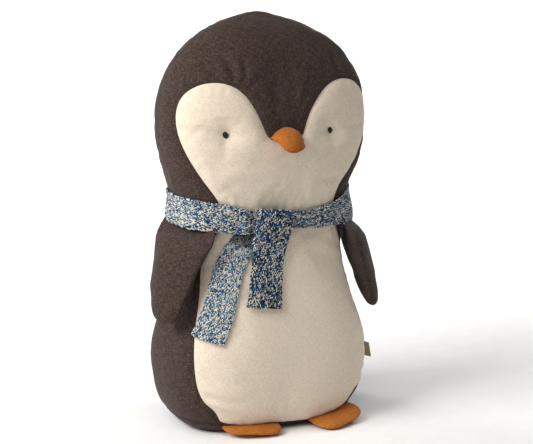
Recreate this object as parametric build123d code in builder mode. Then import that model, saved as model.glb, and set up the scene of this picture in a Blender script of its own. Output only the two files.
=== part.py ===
"""Plush penguin: sewn fabric panels over fibre fill, a weight bag in the base, and a knotted knit scarf.

Frame: origin on the floor under the middle of the body, +Z up, the face looks along -Y and the
penguin's own left side is +X. Millimetres.
"""

import os
from math import cos, hypot, radians, sin

from build123d import *

# ---- driving dimensions -------------------------------------------------------------------------
HEIGHT = 340.0  # floor to crown
CLOTH = 1.2  # thickness of the linen panels
TRIM_CLOTH = 0.8  # thickness of the felt-like beak and foot cloth
GAP = 0.5  # between a cover and the fill behind it
BASE_SEAM = 10.0  # height of the seam round the base panel
SQUARENESS_LOW, SQUARENESS_HIGH = 3.3, 2.5  # superellipse power of the belly and of the head
SQUARE_UP_TO, ROUND_FROM = 110.0, 250.0  # heights between which the power changes
RING_POINTS = 20  # points on each cross-section

# height, half width and half depth of the body's cross-sections
STATIONS = [
    (0, 64, 38),
    (5, 75, 47),
    (16, 82, 54),
    (36, 86.5, 59),
    (60, 87.5, 60),
    (92, 80, 56),
    (122, 71, 50),
    (148, 67.5, 44.5),
    (170, 70, 42),
    (192, 76, 43.5),
    (216, 83.5, 46),
    (242, 89, 47.5),
    (268, 88.5, 45.5),
    (292, 80, 39.5),
    (313, 63, 30),
    (329, 40, 18.5),
    (HEIGHT, 9, 5),
]

# right half of the pale front panel's outline, (x, z) from below the base seam up to the beak
PANEL_EDGE = [
    (56, BASE_SEAM - 4),
    (61, 19),
    (69.5, 30),
    (76, 48),
    (77, 68),
    (73, 95),
    (67, 122),
    (60.5, 153),
    (50, 180),
    (63, 205),
    (78, 231),
    (83.5, 256),
    (78, 277),
    (58, 286.5),
    (38, 280.5),
    (27, 267),
    (18.5, 249),
    (15, 243),
]
BROW_POINT = (0, 240)
# (y, z) of the seam between the hood and the back panels, seen from the side
BACK_SEAM = [(30, 0), (40, 60), (35, 110), (28, 150), (25, 190), (25, 240), (15, 300), (1, 345)]

EYE_X, EYE_Z = 46.5, 246.0
DIMPLE_RADIUS, DIMPLE_DEPTH = 20.0, 4.0
EYE_WIDTH, EYE_HEIGHT, EYE_THICK = 3.4, 4.6, 2.0
TIE_RADIUS, TIE_DEPTH = 0.4, 12.0  # thread that pulls the two eyes in

BEAK_BASE, BEAK_TIP = (0, -47.8, 243.0), (0, -67.0, 234.0)
# share of the beak's length, width, thickness
BEAK_SECTIONS = [(-0.1, 31, 17), (0.35, 28, 14.5), (0.7, 21.5, 11), (0.92, 15, 7.5), (1, 8, 3.5)]

WING_ROOT, WING_TIP = (74.3, -14.2, 162.3), (93.5, -27.5, 92.0)
WING_CHORD_ANGLE = 70.0  # plan angle of the wing's chord from +X
# share of the wing's length, chord, thickness
WING_SECTIONS = [
    (0, 47, 2.4),
    (0.03, 50, 6),
    (0.07, 52, 9),
    (0.18, 55, 14),
    (0.4, 52, 16.5),
    (0.62, 44, 16),
    (0.83, 32, 13),
    (0.94, 21, 9),
    (1.0, 10, 4),
]

FOOT_X, FOOT_HEEL_Y, FOOT_TOE_OUT = 35.0, -48.8, 6.0
FOOT_LENGTH, FOOT_WIDTH, FOOT_CORNER = 22.0, 48.0, 12.0
# distance forward of the heel seam and height, round the foot's side profile
FOOT_PROFILE = [(0, 5), (3, 3.4), (19, 1.6), (22, 2.2), (22, 4.6), (19, 7.6), (10, 9.2), (4, 9), (0, 7.4)]
FOOT_SPLIT = ((0, 6.2), (22, 3.6))  # the seam round the foot, seen from the side

SCARF_THICK, SCARF_LIFT = 2.8, 0.4  # knit thickness, and the gap between body and scarf
LAYER_STEP = 3.3  # from one layer of scarf to the next
BAND_HEIGHT, BAND_WIDTH, BAND_SLOPE = 179.5, 27.0, 7.0  # mid height, width, degrees down to the front
KNOT_X, KNOT_WIDTH, KNOT_BOTTOM, KNOT_TOP = -12.5, 32.0, 160.6, 189.0
# top middle, end middle (x, z) and width of the two hanging ends
SHORT_TAIL = ((-14.5, 157.8), (-23.0, 108.5), 31.0)
LONG_TAIL = ((-45.5, 156.2), (-68.5, 85.0), 25.0)

LABEL_Y, LABEL_Z = -25.0, 53.0
LABEL_HEIGHT, LABEL_LENGTH, LABEL_THICK, LABEL_INSET = 13.0, 8.0, 1.0, 0.3

BAG_TOP, BAG_HALF_WIDTH, BAG_HALF_DEPTH = 36.0, 58.0, 34.0
BAG_SECTIONS = [(0, 0.72), (0.25, 0.94), (0.5, 1.0), (0.75, 0.9), (1, 0.6)]  # share of height, of width
STITCH_PITCH, STITCH_RADIUS, STITCH_LENGTH, STITCH_RISE = 5.0, 0.4, 4.0, 1.3
CLOSING_LOW, CLOSING_HIGH = 62.0, 117.0  # the opening in the back seam that was sewn up last

os.makedirs("parts", exist_ok=True)


def finish(piece, name):
    """Names a finished piece and writes its STEP file."""
    piece.part.label = name
    export_step(piece.part, f"parts/{name}.step")


def squareness(height):
    """Superellipse power of the cross-section at a height."""
    share = min(max((height - SQUARE_UP_TO) / (ROUND_FROM - SQUARE_UP_TO), 0), 1)
    return SQUARENESS_LOW + (SQUARENESS_HIGH - SQUARENESS_LOW) * share


def ring_point(half_width, half_depth, power, turn):
    """A point of a superellipse, by its parameter angle in degrees."""
    c, s = cos(radians(turn)), sin(radians(turn))
    x = half_width * abs(c) ** (2 / power) * (1 if c > 0 else -1)
    y = half_depth * abs(s) ** (2 / power) * (1 if s > 0 else -1)
    return x, y


def size_at(height):
    """Half width and half depth of the body at a height, between stations."""
    for (low, w0, d0), (high, w1, d1) in zip(STATIONS, STATIONS[1:]):
        if low <= height <= high:
            share = (height - low) / (high - low)
            return w0 + (w1 - w0) * share, d0 + (d1 - d0) * share
    raise ValueError(f"no station at height {height}")


def front_y(x, height):
    """Y of the body's front surface at x and a height."""
    half_width, half_depth = size_at(height)
    power = squareness(height)
    return -half_depth * (1 - (abs(x) / half_width) ** power) ** (1 / power)


def body_form(grow):
    """The body's outer form, moved out by grow along its normals (inward where grow is negative)."""
    with BuildPart() as form:
        for k, (height, half_width, half_depth) in enumerate(STATIONS):
            below, above = STATIONS[max(k - 1, 0)], STATIONS[min(k + 1, len(STATIONS) - 1)]
            rise, spread = above[0] - below[0], above[1] - below[1]
            slant = hypot(rise, spread)
            level = height - grow * spread / slant
            sideways = grow * rise / slant
            if k in (0, len(STATIONS) - 1):
                level = height + (grow if k else -grow)
            with BuildSketch(Plane.XY.offset(level)):
                with BuildLine():
                    Spline(
                        *[
                            ring_point(
                                half_width + sideways,
                                half_depth + sideways,
                                squareness(height),
                                360 * (n + 0.5) / RING_POINTS,
                            )
                            for n in range(RING_POINTS)
                        ],
                        periodic=True,
                    )
                make_face()
        loft()
    return form.part


def eye_dish(grow):
    """The two round hollows where the tied eyes pull the face in, grown by grow."""
    middle_y = front_y(EYE_X, EYE_Z) - DIMPLE_RADIUS + DIMPLE_DEPTH
    with BuildPart() as dish:
        with Locations((EYE_X, middle_y, EYE_Z), (-EYE_X, middle_y, EYE_Z)):
            Sphere(DIMPLE_RADIUS + grow)
    return dish.part


EYE_BACK_Y = front_y(EYE_X, EYE_Z) + DIMPLE_DEPTH - 0.4  # back of the knots, on the floor of the hollows


def eye_tie(radius):
    """The thread that runs from knot to knot through the fill."""
    with BuildPart() as tie:
        with BuildLine() as path:
            FilletPolyline(
                (-EYE_X, EYE_BACK_Y, EYE_Z),
                (-EYE_X + 4, EYE_BACK_Y + TIE_DEPTH, EYE_Z),
                (EYE_X - 4, EYE_BACK_Y + TIE_DEPTH, EYE_Z),
                (EYE_X, EYE_BACK_Y, EYE_Z),
                radius=4,
            )
        with BuildSketch(Plane(path.line @ 0, z_dir=path.line % 0)):
            Circle(radius)
        sweep()
    return tie.part


# ---- body: one thin skin, cut along its seams ---------------------------------------------------
with BuildPart() as cover:
    add(body_form(0))
    add(body_form(-CLOTH), mode=Mode.SUBTRACT)
    add(eye_dish(0), mode=Mode.SUBTRACT)
with BuildPart() as dimple_skin:
    add(eye_dish(CLOTH))
    add(eye_dish(0), mode=Mode.SUBTRACT)
    add(body_form(0), mode=Mode.INTERSECT)
with BuildPart() as skin:
    add(cover.part)
    add(dimple_skin.part)
    add(eye_tie(TIE_RADIUS + 0.1), mode=Mode.SUBTRACT)


def front_cutter():
    """A bar along -Y with the front panel's outline, from mid depth out past the face."""
    with BuildPart() as cutter:
        with BuildSketch(Plane.XZ):
            with BuildLine():
                hem = Line((0, PANEL_EDGE[0][1]), PANEL_EDGE[0])
                right = Spline(hem @ 1, *PANEL_EDGE[1:])
                Line(right @ 1, BROW_POINT)
                mirror(about=Plane.YZ)
            make_face()
        extrude(amount=120)
    return cutter.part


def behind_seam():
    """Everything behind the seams that join the hood to the two back panels."""
    with BuildPart() as block:
        with BuildSketch(Plane.YZ):
            with BuildLine():
                seam = Spline(*BACK_SEAM)
                Polyline(seam @ 1, (120, 345), (120, 0), seam @ 0)
            make_face()
        extrude(amount=120, both=True)
    return block.part


def slab(low, high):
    """Everything between two heights."""
    with BuildPart() as layer:
        with Locations((0, 0, (low + high) / 2)):
            Box(400, 400, high - low)
    return layer.part


with BuildPart() as base_panel:
    add(skin.part)
    add(slab(-10, BASE_SEAM), mode=Mode.INTERSECT)
finish(base_panel, "base_panel")
with BuildPart() as upper_skin:
    add(skin.part)
    add(slab(BASE_SEAM, HEIGHT + 10), mode=Mode.INTERSECT)
with BuildPart() as front_panel:
    add(upper_skin.part)
    add(front_cutter(), mode=Mode.INTERSECT)
finish(front_panel, "front_panel")
with BuildPart() as hood_panel:
    add(upper_skin.part)
    add(behind_seam(), mode=Mode.SUBTRACT)
    add(front_cutter(), mode=Mode.SUBTRACT)
finish(hood_panel, "hood_panel")
for side, keep in (("left", Keep.TOP), ("right", Keep.BOTTOM)):
    with BuildPart() as back_panel:
        add(upper_skin.part)
        add(behind_seam(), mode=Mode.INTERSECT)
        split(bisect_by=Plane.YZ, keep=keep)
    finish(back_panel, f"back_panel_{side}")

with BuildPart() as closing_stitches:
    steps = int((CLOSING_HIGH - CLOSING_LOW) / STITCH_PITCH) + 1
    heights = [CLOSING_LOW + STITCH_PITCH * n for n in range(steps)]
    with Locations(*[(0, size_at(z)[1] + STITCH_RADIUS + STITCH_RISE, z) for z in heights]):
        Cylinder(STITCH_RADIUS, STITCH_LENGTH, rotation=(0, 90, 0))
finish(closing_stitches, "closing_stitches")


# ---- weight bag: two cloth halves round a pellet fill -------------------------------------------
BAG_LOW = CLOTH + 1.0
BAG_SEAM = (BAG_LOW + BAG_TOP) / 2


def bag_form(shrink):
    """The weight bag's plump form, shrunk by shrink."""
    low, high = BAG_LOW + shrink, BAG_TOP - shrink
    with BuildPart() as bag:
        for share, width in BAG_SECTIONS:
            with BuildSketch(Plane.XY.offset(low + (high - low) * share)):
                Ellipse(BAG_HALF_WIDTH * width - shrink, BAG_HALF_DEPTH * width - shrink)
        loft()
    return bag.part


for half, keep in (("upper", Keep.TOP), ("lower", Keep.BOTTOM)):
    with BuildPart() as bag_half:
        add(bag_form(0))
        add(bag_form(TRIM_CLOTH), mode=Mode.SUBTRACT)
        split(bisect_by=Plane.XY.offset(BAG_SEAM), keep=keep)
    finish(bag_half, f"weight_bag_{half}")
with BuildPart() as weight_pellets:
    add(bag_form(TRIM_CLOTH + GAP))
finish(weight_pellets, "weight_pellets")

# ---- fibre fill of the body and head ------------------------------------------------------------
with BuildPart() as body_fill:
    add(body_form(-CLOTH - GAP))
    add(eye_dish(CLOTH + GAP), mode=Mode.SUBTRACT)
    add(eye_tie(TIE_RADIUS + 0.1), mode=Mode.SUBTRACT)
    add(bag_form(-GAP), mode=Mode.SUBTRACT)
finish(body_fill, "body_fill")

# ---- eyes ---------------------------------------------------------------------------------------
with BuildPart() as eye_tie_thread:
    add(eye_tie(TIE_RADIUS))
finish(eye_tie_thread, "eye_tie_thread")
for side, sign in (("left", 1), ("right", -1)):
    with BuildPart() as eye_knot:
        with BuildSketch(Plane.XZ.offset(-EYE_BACK_Y)):
            with Locations((sign * EYE_X, EYE_Z)):
                Ellipse(EYE_WIDTH / 2, EYE_HEIGHT / 2)
        extrude(amount=EYE_THICK)
        fillet(eye_knot.edges().group_by(Axis.Y)[0], 0.9)
    finish(eye_knot, f"eye_knot_{side}")

# ---- beak: an upper and a lower cover over a little fill ----------------------------------------
BEAK_AXIS = Vector(*BEAK_TIP) - Vector(*BEAK_BASE)
BEAK_MIDDLE = Plane(BEAK_BASE, x_dir=(1, 0, 0), z_dir=Vector(1, 0, 0).cross(BEAK_AXIS))
FACE_PLANE = Plane(BEAK_BASE, x_dir=(1, 0, 0), z_dir=(0, -1, 0))


def beak_form(shrink):
    """The beak's tapered form, shrunk by shrink and cut off at the face."""
    with BuildPart() as form:
        for share, width, thick in BEAK_SECTIONS:
            middle = Vector(*BEAK_BASE) + BEAK_AXIS * share
            if share == 1:
                middle -= BEAK_AXIS.normalized() * shrink
            with BuildSketch(Plane(middle, x_dir=(1, 0, 0), z_dir=BEAK_AXIS)):
                Ellipse(width / 2 - shrink, thick / 2 - shrink)
        loft()
        split(bisect_by=FACE_PLANE, keep=Keep.TOP)
    return form.part


for half, keep in (("lower", Keep.TOP), ("upper", Keep.BOTTOM)):
    with BuildPart() as beak_cover:
        add(beak_form(0))
        add(beak_form(TRIM_CLOTH), mode=Mode.SUBTRACT)
        split(bisect_by=BEAK_MIDDLE, keep=keep)
    finish(beak_cover, f"beak_{half}")
with BuildPart() as beak_fill:
    add(beak_form(TRIM_CLOTH + 0.3))
finish(beak_fill, "beak_fill")

# ---- wings --------------------------------------------------------------------------------------
WING_AXIS = Vector(*WING_TIP) - Vector(*WING_ROOT)
WING_CHORD = Vector(cos(radians(WING_CHORD_ANGLE)), sin(radians(WING_CHORD_ANGLE)), 0)
WING_MIDDLE = Plane(WING_ROOT, x_dir=WING_CHORD, z_dir=WING_CHORD.cross(WING_AXIS))


def wing_form(shrink):
    """The left wing's form, shrunk by shrink: flat oval sections along its length."""
    along = WING_AXIS.normalized()
    with BuildPart() as form:
        for n, (share, chord, thick) in enumerate(WING_SECTIONS):
            middle = Vector(*WING_ROOT) + WING_AXIS * share
            if n in (0, len(WING_SECTIONS) - 1):
                middle += along * (-shrink if n else shrink)
            with BuildSketch(Plane(middle, x_dir=WING_CHORD, z_dir=WING_AXIS)):
                Ellipse(chord / 2 - shrink, max(thick / 2 - shrink, 0.3))
        loft()
    return form.part


def sided(part, side):
    """A left-hand part as it is, or its mirror image for the right."""
    return part if side == "left" else part.mirror(Plane.YZ)


for side in ("left", "right"):
    for face, keep in (("outer", Keep.BOTTOM), ("inner", Keep.TOP)):
        with BuildPart() as wing_half:
            add(wing_form(0))
            add(wing_form(CLOTH), mode=Mode.SUBTRACT)
            split(bisect_by=WING_MIDDLE, keep=keep)
        with BuildPart() as wing_cover:
            add(sided(wing_half.part, side))
        finish(wing_cover, f"wing_{side}_{face}")
    with BuildPart() as wing_fill:
        add(sided(wing_form(CLOTH + 0.4), side))
    finish(wing_fill, f"wing_{side}_fill")

# ---- feet ---------------------------------------------------------------------------------------
HEEL = Vector(1, 0, 0).rotate(Axis.Z, FOOT_TOE_OUT)
FORWARD = Vector(0, -1, 0).rotate(Axis.Z, FOOT_TOE_OUT)
FOOT_PLAN = Plane((FOOT_X, FOOT_HEEL_Y, 0), x_dir=HEEL, z_dir=(0, 0, 1))
FOOT_SIDE = Plane((FOOT_X, FOOT_HEEL_Y, 0), x_dir=FORWARD, z_dir=-HEEL)
(split_x0, split_z0), (split_x1, split_z1) = FOOT_SPLIT
FOOT_MIDDLE = Plane(
    Vector(FOOT_X, FOOT_HEEL_Y, split_z0),
    x_dir=HEEL,
    z_dir=HEEL.cross(FORWARD * -(split_x1 - split_x0) - Vector(0, 0, split_z1 - split_z0)),
)


def foot_form(shrink):
    """The left foot's pad, shrunk by shrink: a flat wedge, thin at the heel seam."""
    with BuildPart() as form:
        with BuildSketch(FOOT_SIDE):
            with BuildLine():
                Polyline(*FOOT_PROFILE, close=True)
            make_face()
            offset(amount=-shrink, mode=Mode.REPLACE)
        extrude(amount=FOOT_WIDTH, both=True)
        with BuildSketch(FOOT_PLAN) as outline:
            with Locations((0, -FOOT_LENGTH / 2)):
                Rectangle(FOOT_WIDTH - 2 * shrink, FOOT_LENGTH)
            toes = outline.vertices().sort_by(Axis.Y)[:2]
            fillet(toes, FOOT_CORNER - shrink)
        extrude(amount=20, both=True, mode=Mode.INTERSECT)
    return form.part


for side in ("left", "right"):
    for face, keep in (("top", Keep.TOP), ("sole", Keep.BOTTOM)):
        with BuildPart() as foot_half:
            add(foot_form(0))
            add(foot_form(TRIM_CLOTH), mode=Mode.SUBTRACT)
            split(bisect_by=FOOT_MIDDLE, keep=keep)
        with BuildPart() as foot_cover:
            add(sided(foot_half.part, side))
        finish(foot_cover, f"foot_{side}_{face}")
    with BuildPart() as foot_fill:
        add(sided(foot_form(TRIM_CLOTH + 0.3), side))
    finish(foot_fill, f"foot_{side}_fill")


# ---- scarf: a band round the neck, crossed over itself at the front, with two hanging ends -------
def scarf_layer(level):
    """A knit-thick skin round the whole body, at a layer level above it."""
    lift = SCARF_LIFT + LAYER_STEP * level
    with BuildPart() as layer:
        add(body_form(lift + SCARF_THICK))
        add(body_form(lift), mode=Mode.SUBTRACT)
    return layer.part


def tail(top, end, width, level):
    """A hanging scarf end that follows the belly, from its top middle to its end middle."""
    run = Vector(end[0] - top[0], end[1] - top[1])
    side = Vector(run.Y, -run.X).normalized() * (width / 2)
    top, end = Vector(*top), Vector(*end)
    with BuildPart() as strip:
        with BuildSketch(Plane.XZ):
            with BuildLine():
                Polyline(top + side, end + side, end - side, top - side, close=True)
            make_face()
        extrude(amount=120)
        add(scarf_layer(level), mode=Mode.INTERSECT)
    return strip.part


with BuildPart() as scarf_band:
    add(scarf_layer(0))
    with BuildSketch(Plane((0, 0, BAND_HEIGHT - BAND_WIDTH / 2)).rotated((BAND_SLOPE, 0, 0))):
        Rectangle(400, 400)
    extrude(amount=BAND_WIDTH, mode=Mode.INTERSECT)
finish(scarf_band, "scarf_band")
with BuildPart() as scarf_knot:
    with BuildSketch(Plane.XZ):
        with Locations((KNOT_X, (KNOT_BOTTOM + KNOT_TOP) / 2)):
            Rectangle(KNOT_WIDTH, KNOT_TOP - KNOT_BOTTOM)
    extrude(amount=120)
    add(scarf_layer(1), mode=Mode.INTERSECT)
finish(scarf_knot, "scarf_knot")
with BuildPart() as scarf_tail_short:
    add(tail(*SHORT_TAIL, 1))
finish(scarf_tail_short, "scarf_tail_short")
with BuildPart() as scarf_tail_long:
    add(tail(*LONG_TAIL, 0))
finish(scarf_tail_long, "scarf_tail_long")

# ---- folded side label, in the left side seam ---------------------------------------------------
with BuildPart() as side_label:
    with Locations((size_at(LABEL_Z)[0] - LABEL_INSET + LABEL_LENGTH / 2, LABEL_Y, LABEL_Z)):
        Box(LABEL_LENGTH, LABEL_THICK, LABEL_HEIGHT)
finish(side_label, "side_label")
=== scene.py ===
"""Plush penguin with a knitted scarf: sewn cloth, knit, thread, floor, light and camera.

Shapes are worked out in millimetres and written to the meshes in metres.
"""

import math

import bmesh
import bpy
import numpy as np
from mathutils import Matrix, Vector


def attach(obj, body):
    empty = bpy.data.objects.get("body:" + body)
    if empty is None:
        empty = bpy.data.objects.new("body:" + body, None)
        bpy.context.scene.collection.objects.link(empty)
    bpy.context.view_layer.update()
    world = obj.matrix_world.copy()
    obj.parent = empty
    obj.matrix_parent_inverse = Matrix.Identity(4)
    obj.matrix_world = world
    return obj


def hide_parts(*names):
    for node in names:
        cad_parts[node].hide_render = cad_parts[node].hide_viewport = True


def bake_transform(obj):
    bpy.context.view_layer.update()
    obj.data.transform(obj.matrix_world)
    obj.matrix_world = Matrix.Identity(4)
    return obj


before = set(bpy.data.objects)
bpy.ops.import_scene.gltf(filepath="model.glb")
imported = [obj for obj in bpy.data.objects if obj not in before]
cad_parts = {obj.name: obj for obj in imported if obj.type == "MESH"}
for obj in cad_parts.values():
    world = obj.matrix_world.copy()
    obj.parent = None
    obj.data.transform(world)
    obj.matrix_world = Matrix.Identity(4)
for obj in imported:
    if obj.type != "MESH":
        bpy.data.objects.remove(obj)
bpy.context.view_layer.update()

MM = 0.001
TINY = 1e-9

# ---- the body's form, as in the CAD model ---------------------------------------------------------
HEIGHT = 340.0
BASE_SEAM = 10.0
SQUARE_UP_TO, ROUND_FROM = 110.0, 250.0
SQUARENESS_LOW, SQUARENESS_HIGH = 3.3, 2.5
# height, half width and half depth
STATIONS = np.array(
    [
        (0, 64, 38), (5, 75, 47), (16, 82, 54), (36, 86.5, 59), (60, 87.5, 60), (92, 80, 56),
        (122, 71, 50), (148, 67.5, 44.5), (170, 70, 42), (192, 76, 43.5), (216, 83.5, 46),
        (242, 89, 47.5), (268, 88.5, 45.5), (292, 80, 39.5), (313, 63, 30), (329, 40, 18.5),
        (HEIGHT, 9, 5),
    ],
    dtype=float,
)
# half width and height along the pale front panel's edge, from the hem round the face to its top
PANEL_EDGE = np.array(
    [
        (0, 6), (26, 5.6), (51, 6), (59.5, 19), (69.5, 30), (76, 48), (77, 68), (73, 95),
        (67, 122), (60.5, 153), (50, 180), (63, 205), (78, 231), (83.5, 256), (78, 277),
        (58, 286.5), (38, 280.5), (27, 267), (18.5, 249), (15, 243), (0, 240),
    ],
    dtype=float,
)
# how far back the seam between the hood and the back panels runs, and the height there
BACK_SEAM = np.array(
    [
        (30, 0), (40, 60), (35, 110), (28, 150), (25, 190), (25, 240), (15, 300), (1, 345),
    ],
    dtype=float,
)


# ---- curves and grids ------------------------------------------------------------------------------
def distance_along(line):
    """Distance of each point of a line from its first point, along the line."""
    return np.r_[0, np.cumsum(np.linalg.norm(np.diff(line, axis=0), axis=1))]


def spline(points, count):
    """count points, evenly spaced along a natural cubic spline through the rows of points."""
    points = np.asarray(points, float)
    knots = distance_along(points)
    n = len(knots)
    h = np.diff(knots)
    system = np.zeros((n, n))
    right = np.zeros((n, points.shape[1]))
    system[0, 0] = system[-1, -1] = 1
    for k in range(1, n - 1):
        system[k, k - 1 : k + 2] = h[k - 1], 2 * (h[k - 1] + h[k]), h[k]
        right[k] = 6 * ((points[k + 1] - points[k]) / h[k] - (points[k] - points[k - 1]) / h[k - 1])
    bend = np.linalg.solve(system, right)

    def at(t):
        k = np.clip(np.searchsorted(knots, t, side="right") - 1, 0, n - 2)
        left, step = (t - knots[k])[:, None], h[k][:, None]
        rest = step - left
        return (
            (bend[k] * rest**3 + bend[k + 1] * left**3) / (6 * step)
            + (points[k] / step - bend[k] * step / 6) * rest
            + (points[k + 1] / step - bend[k + 1] * step / 6) * left
        )

    fine = at(np.linspace(0, knots[-1], 40 * n))
    run = distance_along(fine)
    wanted = np.linspace(0, run[-1], count)
    return np.stack([np.interp(wanted, run, fine[:, d]) for d in range(points.shape[1])], 1)


def cubic_weights(coarse, fine, loop):
    """Matrix that interpolates coarse samples at fine places with Catmull-Rom cubics."""
    span = coarse if loop else coarse - 1
    place = np.arange(fine) * span / (fine if loop else fine - 1)
    cell = np.minimum(np.floor(place).astype(int), span - 1)
    t = place - cell
    weights = np.zeros((fine, coarse))
    rows = np.arange(fine)
    cubics = (
        (-t + 2 * t**2 - t**3) / 2,
        (2 - 5 * t**2 + 3 * t**3) / 2,
        (t + 4 * t**2 - 3 * t**3) / 2,
        (-(t**2) + t**3) / 2,
    )
    for shift, share in zip((-1, 0, 1, 2), cubics):
        column = (cell + shift) % coarse if loop else np.clip(cell + shift, 0, coarse - 1)
        np.add.at(weights, (rows, column), share)
    return weights


def refine(grid, rows, columns):
    """A grid of points resampled to rows by columns, closed along its second axis."""
    down = cubic_weights(grid.shape[0], rows, False)
    across = cubic_weights(grid.shape[1], columns, True)
    return np.einsum("ri,ijk,cj->rck", down, grid, across)


def normals_of(grid, loop=True):
    """Outward unit normals of a grid whose columns turn anticlockwise seen from its last row."""
    if loop:
        across = np.roll(grid, -1, 1) - np.roll(grid, 1, 1)
    else:
        across = np.gradient(grid, axis=1)
    up = np.gradient(grid, axis=0)
    normal = np.cross(across, up)
    length = np.linalg.norm(normal, axis=2, keepdims=True)
    return np.where(length > TINY, normal / np.maximum(length, TINY), 0)


def smooth_step(x, low, high):
    t = np.clip((x - low) / (high - low), 0, 1)
    return t * t * (3 - 2 * t)


def bell(x, width):
    return np.exp(-((x / width) ** 2))


# large odd numbers that stir a grid place and a seed into one number, and the bits kept of it
NOISE_AXES = np.array((374761393, 668265263, 2147483647))
NOISE_SEED, NOISE_STIR, NOISE_MASK = 1274126177, 1103515245, 0xFFFFF


def value_noise(points, cell, seed):
    """Smooth noise from -1 to 1 in space, one value for each point, with features of about cell."""
    points = np.asarray(points, float) / cell
    base = np.floor(points).astype(np.int64)
    t = points - base
    t = t * t * (3 - 2 * t)
    total = np.zeros(points.shape[:-1])
    for corner in range(8):
        offset = np.array([(corner >> d) & 1 for d in range(3)])
        key = base + offset
        h = key @ NOISE_AXES + seed * NOISE_SEED
        h = (h ^ (h >> 13)) * NOISE_STIR
        h = (h ^ (h >> 16)) & NOISE_MASK
        weight = np.prod(np.where(offset, t, 1 - t), axis=-1)
        total += weight * (h / (NOISE_MASK // 2) - 1)
    return total


# ---- meshes ----------------------------------------------------------------------------------------
def make_object(name, points, faces, uv=None, smooth=True):
    """A mesh object from points in millimetres, faces by index, and one uv pair for each point."""
    mesh = bpy.data.meshes.new(name)
    mesh.from_pydata((np.asarray(points) * MM).tolist(), [], [tuple(int(i) for i in f) for f in faces])
    if uv is not None:
        layer = mesh.uv_layers.new(name="cloth")
        corners = np.empty(len(mesh.loops), dtype=np.int32)
        mesh.loops.foreach_get("vertex_index", corners)
        layer.data.foreach_set("uv", np.asarray(uv, float)[corners].ravel())
    if smooth:
        mesh.polygons.foreach_set("use_smooth", [True] * len(mesh.polygons))
    mesh.validate()
    mesh.update()
    obj = bpy.data.objects.new(name, mesh)
    bpy.context.scene.collection.objects.link(obj)
    return obj


def used_only(points, faces, *extras):
    """Drops the points that no face uses, from points and from each extra array."""
    used = np.unique(np.concatenate([np.asarray(f) for f in faces]))
    index = np.full(len(points), -1)
    index[used] = np.arange(len(used))
    return points[used], [tuple(index[list(f)]) for f in faces], *[e[used] for e in extras]


def simulate(name, points, faces, hold, growth, pressure, frames, reach, bending=0.3):
    """The points after a cloth simulation: the cloth grows, is blown out, and is held by its seams.

    hold is each point's pull towards where it started, from 0 to 1. No point moves more than reach.
    """
    points = np.asarray(points, float)
    obj = make_object(name, points, faces)
    group = obj.vertex_groups.new(name="hold")
    for level in np.unique(np.round(hold, 3)):
        group.add(np.nonzero(np.isclose(np.round(hold, 3), level))[0].tolist(), float(level), "REPLACE")
    cloth = obj.modifiers.new("cloth", "CLOTH")
    settings = cloth.settings
    settings.quality = 6
    settings.mass = 0.1
    settings.air_damping = 4
    settings.tension_stiffness = settings.compression_stiffness = 18
    settings.shear_stiffness = 8
    settings.bending_stiffness = bending
    settings.vertex_group_mass = "hold"
    settings.pin_stiffness = 1.0
    settings.shrink_min = -growth
    settings.use_pressure = True
    settings.uniform_pressure_force = pressure
    settings.effector_weights.gravity = 0
    cloth.collision_settings.use_collision = False
    cloth.point_cache.frame_start, cloth.point_cache.frame_end = 1, frames
    scene = bpy.context.scene
    for frame_number in range(1, frames + 1):
        scene.frame_set(frame_number)
    shaped = obj.evaluated_get(bpy.context.evaluated_depsgraph_get())
    moved = np.empty(len(points) * 3)
    shaped.data.vertices.foreach_get("co", moved)
    moved = moved.reshape(-1, 3) / MM
    mesh = obj.data
    bpy.data.objects.remove(obj)
    bpy.data.meshes.remove(mesh)
    scene.frame_set(1)
    shift = moved - points
    far = np.linalg.norm(shift, axis=1, keepdims=True)
    return points + shift * np.minimum(1, reach / np.maximum(far, TINY))


def grid_faces(rows, columns, loop=True):
    """Quads of a grid of points, row by row, facing outward as normals_of does."""
    r, c = np.meshgrid(np.arange(rows - 1), np.arange(columns if loop else columns - 1), indexing="ij")
    right = (c + 1) % columns
    low, high = r * columns, (r + 1) * columns
    return np.stack([low + c, low + right, high + right, high + c], -1).reshape(-1, 4)


# ---- body skin -------------------------------------------------------------------------------------
# the simulated grid and the finished one
COARSE_ROWS, COARSE_COLUMNS = 112, 104
FINE_ROWS, FINE_COLUMNS = 401, 416
FLOOR_ROWS = 24
WRINKLES_LEFT = 0.4  # share of the simulated wrinkles that is kept
RING_SAMPLES = 721


def ring(half_width, half_depth, power, count):
    """A superellipse cut into count equal lengths, from the front middle round by +X, and its length."""
    turn = np.linspace(0, math.pi / 2, RING_SAMPLES)
    x = half_width * np.sin(turn) ** (2 / power)
    y = -half_depth * np.cos(turn) ** (2 / power)
    run = np.r_[0, np.cumsum(np.hypot(np.diff(x), np.diff(y)))]
    wanted = np.linspace(0, run[-1], count // 4 + 1)
    x, y = np.interp(wanted, run, x), np.interp(wanted, run, y)
    x = np.r_[x, x[-2:0:-1], -x, -x[-2:0:-1]]
    y = np.r_[y, -y[-2:0:-1], -y, y[-2:0:-1]]
    return x, y, 4 * run[-1]


def squareness(z):
    share = np.clip((z - SQUARE_UP_TO) / (ROUND_FROM - SQUARE_UP_TO), 0, 1)
    return SQUARENESS_LOW + (SQUARENESS_HIGH - SQUARENESS_LOW) * share


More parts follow.
